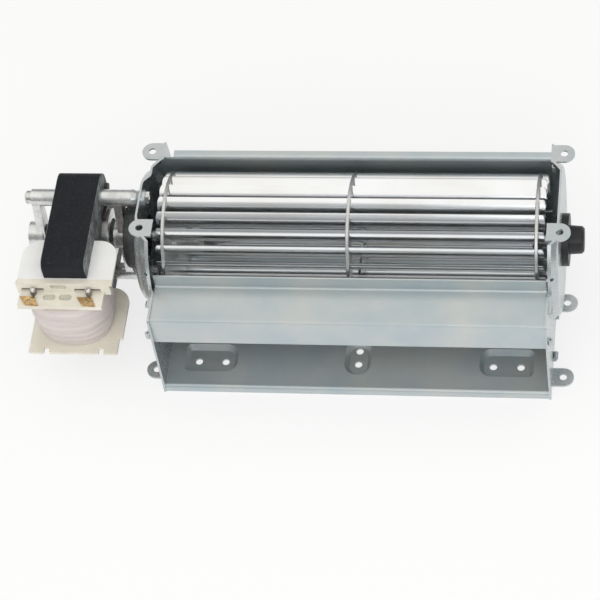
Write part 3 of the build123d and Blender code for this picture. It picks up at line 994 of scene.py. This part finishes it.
@dataclass
class WrappedPost:
    """A terminal post with the winding's end wrapped on it and a bead of solder.

    Attributes:
        x: Its place along the fan, in millimetres from the middle of the axis.
        y: Its Y.
        foot: Z of the ledge that it stands on.
        post_r: Radius of the post.
        wrap_r: Radius of the wire's turns.
        wire_r: Radius of the wire.
        turns: How many turns there are.
        rise: Height of the wrapped part.
        tall: Height of the post.
        chamfer: Width of the chamfer round its top.
        clear: Height of the first turn over the ledge.
        turn_steps: How many facets one turn has.
        drop_z: Height of the solder drop's middle over the ledge.
        drop_r: Radius of the drop.
        drop_top: How tall the drop's upper half is, as a share of its radius.
        drop_base: The same for its lower half.
        sag: How uneven the drop is, as a share of its radius.
    """

    x: float
    y: float = -45.0
    foot: float = 13.5
    post_r: float = 0.7
    wrap_r: float = 1.12
    wire_r: float = 0.3
    turns: float = 5.5
    rise: float = 2.7
    tall: float = 3.6
    chamfer: float = 0.2
    clear: float = 0.3
    turn_steps: int = 22
    drop_z: float = 3.35
    drop_r: float = 1.42
    drop_top: float = 0.72
    drop_base: float = 0.55
    sag: float = 0.12

    def post(self, shape: Shape) -> None:
        """Add the bare post with a chamfered top.

        Args:
            shape: The mesh that it goes into.
        """
        middle = Matrix.Translation(place(self.x, self.y, self.foot + self.tall / 2))
        made = bmesh.ops.create_cone(shape, cap_ends=True, segments=20, radius1=self.post_r * MM,
                                     radius2=self.post_r * MM, depth=self.tall * MM, matrix=middle)
        top = max(vert.co.z for vert in made["verts"])
        rim = [edge for edge in edges_of(made["verts"])
               if all(abs(end.co.z - top) < 1e-6 for end in edge.verts)]
        bmesh.ops.bevel(shape, geom=rim, offset=self.chamfer * MM, segments=2, profile=0.5,
                        affect="EDGES", material=-1)

    def wire(self, shape: Shape) -> None:
        """Add the wire's turns, closed at both ends.

        Args:
            shape: The mesh that it goes into.
        """
        base = place(self.x, self.y, self.foot + self.clear)
        start = base + Vector((0.0, -self.wrap_r * MM, 0.0))
        steps = int(self.turns * self.turn_steps)
        section = ring_of(shape, start, self.wire_r * MM, ALONG, 8)
        made = bmesh.ops.spin(shape, geom=section, cent=base, axis=UP, angle=math.tau * self.turns,
                              steps=steps, dvec=UP * (self.rise * MM / steps))
        for end in (section, made["geom_last"]):
            rim = [part for part in end if isinstance(part, bmesh.types.BMEdge)]
            bmesh.ops.holes_fill(shape, edges=rim, sides=0)

    def solder(self, shape: Shape) -> None:
        """Add the drop of solder over the top of the turns.

        Args:
            shape: The mesh that it goes into.
        """
        centre = place(self.x, self.y, self.foot + self.drop_z)
        made = bmesh.ops.create_icosphere(shape, subdivisions=3, radius=self.drop_r * MM)
        for vert in made["verts"]:
            sag = self.sag * noise.noise(vert.co * 900 + ALONG * self.x)
            squash = self.drop_top if vert.co.z > 0 else self.drop_base
            vert.co = Vector((vert.co.x * (1 + sag), vert.co.y * (1 - sag), vert.co.z * squash)) + centre


@dataclass
class Pocket:
    """The floor of one recess in the bobbin, coloured darker as painted shade.

    Attributes:
        x: Middle of the recess, in millimetres from the middle of the axis.
        y: Its Y.
        z: Its Z.
        length: Its length along the fan.
        width: Its width.
        upright: Whether it lies in the rim's front; otherwise it lies in the ledge's top.
        round_end: Radius of its ends.
        thick: Thickness of the plate.
        border: Width of its flat border.
        dish: Depth of its middle below the border.
    """

    x: float
    y: float
    z: float
    length: float
    width: float
    upright: bool
    round_end: float
    thick: float = 0.2
    border: float = 0.3
    dish: float = 0.08

    def add_to(self, shape: Shape) -> None:
        """Add the floor as a thin plate with rounded ends and a dished middle.

        Args:
            shape: The mesh that it goes into.
        """
        size = Matrix.Diagonal((self.length * MM, self.width * MM, self.thick * MM, 1.0))
        own = bmesh.new()
        bmesh.ops.create_cube(own, size=1.0, matrix=size)
        ends = [edge for edge in own.edges if abs((edge.verts[0].co - edge.verts[1].co).normalized().z) > 0.9]
        bmesh.ops.bevel(own, geom=ends, offset=self.round_end * MM, segments=8, profile=0.5, affect="EDGES",
                        material=-1)
        top = max(own.faces, key=lambda face: face.calc_center_median().z)
        bmesh.ops.inset_region(own, faces=[top], thickness=self.border * MM, depth=-self.dish * MM)
        seat = Matrix.Translation(place(self.x, self.y, self.z)) @ stood_up(self.upright)
        bmesh.ops.transform(own, matrix=seat, verts=own.verts)
        pour(own, shape)


class Coil(SubAssembly):
    """Bobbin, winding and terminals."""

    POSTS = (WrappedPost(-145.2), WrappedPost(-118.9))
    OVALS = (Pocket(-137.6, -46.6, 12.6, length=5.8, width=3.0, upright=False, round_end=1.48),
             Pocket(-130.0, -46.6, 12.6, length=5.8, width=3.0, upright=False, round_end=1.48),
             Pocket(-133.3, -42.5, 16.9, length=7.8, width=2.8, upright=True, round_end=1.38))
    SLOTS = (Pocket(-145.85, -42.25, 14.6, length=10.4, width=2.0, upright=True, round_end=0.3),
             Pocket(-119.75, -42.25, 14.6, length=12.2, width=2.0, upright=True, round_end=0.3))
    LABEL_DEPTH = 0.00002
    LABEL_Y = AXIS.y - 0.0405

    def pockets(self) -> None:
        """The floors of the bobbin's recesses and slots, coloured darker as painted shade."""
        # Each floor is a thin plate coloured as painted shade.
        for pockets, name, finish in ((self.OVALS, "oval_recess_shade_floors", RECESS_SHADE),
                                      (self.SLOTS, "rim_slot_shade_floors", SLOT_SHADE)):
            shape = bmesh.new()
            for pocket in pockets:
                pocket.add_to(shape)
            self.hang(shape, name, finish, "bobbin_plastic")

    def winding(self) -> None:
        """The taped barrel."""
        self.hang(TapedWinding().build(), "taped_winding", WindingTape(), "coil_tape", "coil_winding")

    def wrapped_posts(self) -> None:
        """Both terminal posts with their wire and solder."""
        posts, wires, beads = bmesh.new(), bmesh.new(), bmesh.new()
        for post in self.POSTS:
            post.post(posts)
            post.wire(wires)
            post.solder(beads)
        self.hang(posts, "terminal_posts", BRIGHT, "plated_steel", "terminal_pins")
        self.hang(wires, "wrapped_wire_ends", WIRE, "copper")
        self.hang(beads, "solder_beads", SOLDER, "plated_steel")

    def build(self) -> None:
        """Dress the coil and add its details."""
        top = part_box("coil_bobbin")[1].z
        self.dress(BobbinMoulding(top - self.LABEL_DEPTH, self.LABEL_Y), "coil_bobbin")
        self.dress(BRASS, "left_terminal", "right_terminal")
        self.winding()
        self.wrapped_posts()
        self.pockets()


# -------------------- studio


@dataclass(frozen=True)
class Lamp:
    """One soft square lamp, aimed at the fan.

    Attributes:
        name: Its name.
        where: Its position in metres.
        size: Its side in metres.
        power: Its power in watts.
        tint: Its colour.
        mirrored: Whether glossy surfaces show it.
    """

    name: str
    where: Colour
    size: float
    power: float
    tint: Colour
    mirrored: bool = True

    def hang(self) -> None:
        """Make the lamp."""
        data = bpy.data.lights.new(self.name, "AREA")
        data.size = self.size
        data.energy = self.power
        data.color = self.tint
        lamp = bpy.data.objects.new(self.name, data)
        lamp.location = self.where
        lamp.rotation_euler = (Vector(self.where) - AXIS).to_track_quat("Z", "Y").to_euler()
        lamp.visible_glossy = self.mirrored
        bpy.context.scene.collection.objects.link(lamp)


@dataclass
class Studio:
    """Camera, floor and soft light.

    Attributes:
        eye: Camera position in metres.
        yaw: Turn to the right of +Y, in degrees.
        pitch: Angle below the horizon, in degrees.
        roll: Turn of the picture, in degrees.
        lens: Focal length on a 36 mm sensor.
        room: Strength of the room's light.
        horizon: Colour of the room low down.
        zenith: Colour of the room overhead.
        glow: Share of the floor that shines to the camera and in reflections.
        pale: The floor's own colour.
        drop: How far the floor lies below the fan's base, in metres.
        reach: Half the floor's side, in metres.
        fade: Heights between which the room's colour changes, as shares of straight up.
        lamps: The soft lamps.
    """

    eye: tuple[float, float, float] = (0.16886, -0.68604, 0.99684)
    yaw: float = -15.881
    pitch: float = 53.585
    roll: float = 12.041
    lens: float = 153.217
    room: float = 0.62
    horizon: Colour = (0.40, 0.42, 0.44)
    zenith: Colour = (0.98, 0.975, 0.95)
    glow: float = 0.72
    pale: Colour = (0.90, 0.90, 0.90)
    drop: float = 0.0002
    reach: float = 3.0
    fade: tuple[float, float] = (0.05, 0.85)
    lamps: tuple[Lamp, ...] = (
        Lamp("overhead_softbox", (0.0, 0.10, 1.45), 2.6, 9.6, (1.0, 0.97, 0.92)),
        Lamp("front_softbox", (0.35, -1.2, 1.0), 0.7, 3.5, (0.93, 0.97, 1.0)),
        Lamp("overhead_bounce", (-0.1, -0.9, 1.25), 1.2, 4.5, (1.0, 0.98, 0.95), mirrored=False),
        Lamp("front_bounce", (-0.2, -1.4, 0.5), 1.2, 5.0, (0.98, 0.99, 1.0), mirrored=False))

    def camera(self) -> None:
        """Set up the camera."""
        y, p, r = (math.radians(v) for v in (self.yaw, self.pitch, self.roll))
        forward = Vector((math.sin(y) * math.cos(p), math.cos(y) * math.cos(p), -math.sin(p)))
        right = Vector((math.cos(y), -math.sin(y), 0.0))
        down = forward.cross(right)
        across = right * math.cos(r) + down * math.sin(r)
        drop = down * math.cos(r) - right * math.sin(r)
        data = bpy.data.cameras.new("camera")
        data.lens = self.lens
        data.sensor_width = 36.0
        data.clip_start = 0.05
        data.clip_end = 20.0
        camera = bpy.data.objects.new("camera", data)
        columns = Matrix((across, -drop, -forward)).transposed()
        camera.matrix_world = Matrix.Translation(self.eye) @ columns.to_4x4()
        bpy.context.scene.collection.objects.link(camera)
        bpy.context.scene.camera = camera

    def floor(self) -> None:
        """A pale floor that shows white to the camera and keeps the fan's shadow."""
        shape = bmesh.new()
        bmesh.ops.create_grid(shape, x_segments=1, y_segments=1, size=self.reach)
        mesh = bpy.data.meshes.new("floor")
        shape.to_mesh(mesh)
        shape.free()
        floor = bpy.data.objects.new("floor", mesh)
        bpy.context.scene.collection.objects.link(floor)
        floor.location.z = -self.drop
        tree = Tree("pale_floor")
        tree.colour(tree.blend(tree.noise(even(3)), self.pale, tuple(1.04 * part for part in self.pale)))
        tree.constant("Roughness", 0.9)
        glow = tree.nodes.new("ShaderNodeEmission")
        glow.inputs["Color"].default_value = (1, 1, 1, 1)
        rays = tree.nodes.new("ShaderNodeLightPath")
        seen = tree.work_out("MAXIMUM", rays.outputs["Is Camera Ray"], rays.outputs["Is Glossy Ray"])
        mix = tree.nodes.new("ShaderNodeMixShader")
        tree.links.new(tree.work_out("MULTIPLY", seen, self.glow), mix.inputs[0])
        tree.links.new(tree.shader.outputs["BSDF"], mix.inputs[1])
        tree.links.new(glow.outputs["Emission"], mix.inputs[2])
        tree.links.new(mix.outputs["Shader"], tree.output.inputs["Surface"])
        mesh.materials.append(tree.material)

    def world(self) -> None:
        """White to the camera, and to everything else a soft room, pale above and greyer low down."""
        world = bpy.data.worlds.new("room")
        bpy.context.scene.world = world
        world.use_nodes = True
        nodes, links = world.node_tree.nodes, world.node_tree.links
        nodes.clear()
        out = nodes.new("ShaderNodeOutputWorld")
        white = nodes.new("ShaderNodeBackground")
        white.inputs["Color"].default_value = (1, 1, 1, 1)
        white.inputs["Strength"].default_value = 1.0
        room = nodes.new("ShaderNodeBackground")
        room.inputs["Strength"].default_value = self.room
        sky = nodes.new("ShaderNodeTexCoord")
        split = nodes.new("ShaderNodeSeparateXYZ")
        links.new(sky.outputs["Generated"], split.inputs["Vector"])
        fade = nodes.new("ShaderNodeValToRGB")
        links.new(split.outputs["Z"], fade.inputs["Fac"])
        for stop, position, colour in zip(fade.color_ramp.elements, self.fade, (self.horizon, self.zenith)):
            stop.position = position
            stop.color = (*colour, 1.0)
        links.new(fade.outputs["Color"], room.inputs["Color"])
        rays = nodes.new("ShaderNodeLightPath")
        mix = nodes.new("ShaderNodeMixShader")
        links.new(rays.outputs["Is Camera Ray"], mix.inputs[0])
        links.new(room.outputs[0], mix.inputs[1])
        links.new(white.outputs[0], mix.inputs[2])
        links.new(mix.outputs[0], out.inputs["Surface"])

    def build(self) -> None:
        """Set up everything round the fan."""
        self.camera()
        self.floor()
        self.world()
        for lamp in self.lamps:
            lamp.hang()
        bpy.context.scene.view_settings.view_transform = "Standard"


# -------------------- the fan


def main() -> None:
    """Build each group of the fan in turn, then the studio round it."""
    logging.basicConfig(level=logging.INFO, format="%(message)s")
    paints = Paintbox()
    for group in (Housing, Wheel, Motor, Coil):
        group(paints).build()
        LOG.info("%s finished", group.__name__)
    Studio().build()


if __name__ == "__main__":
    main()
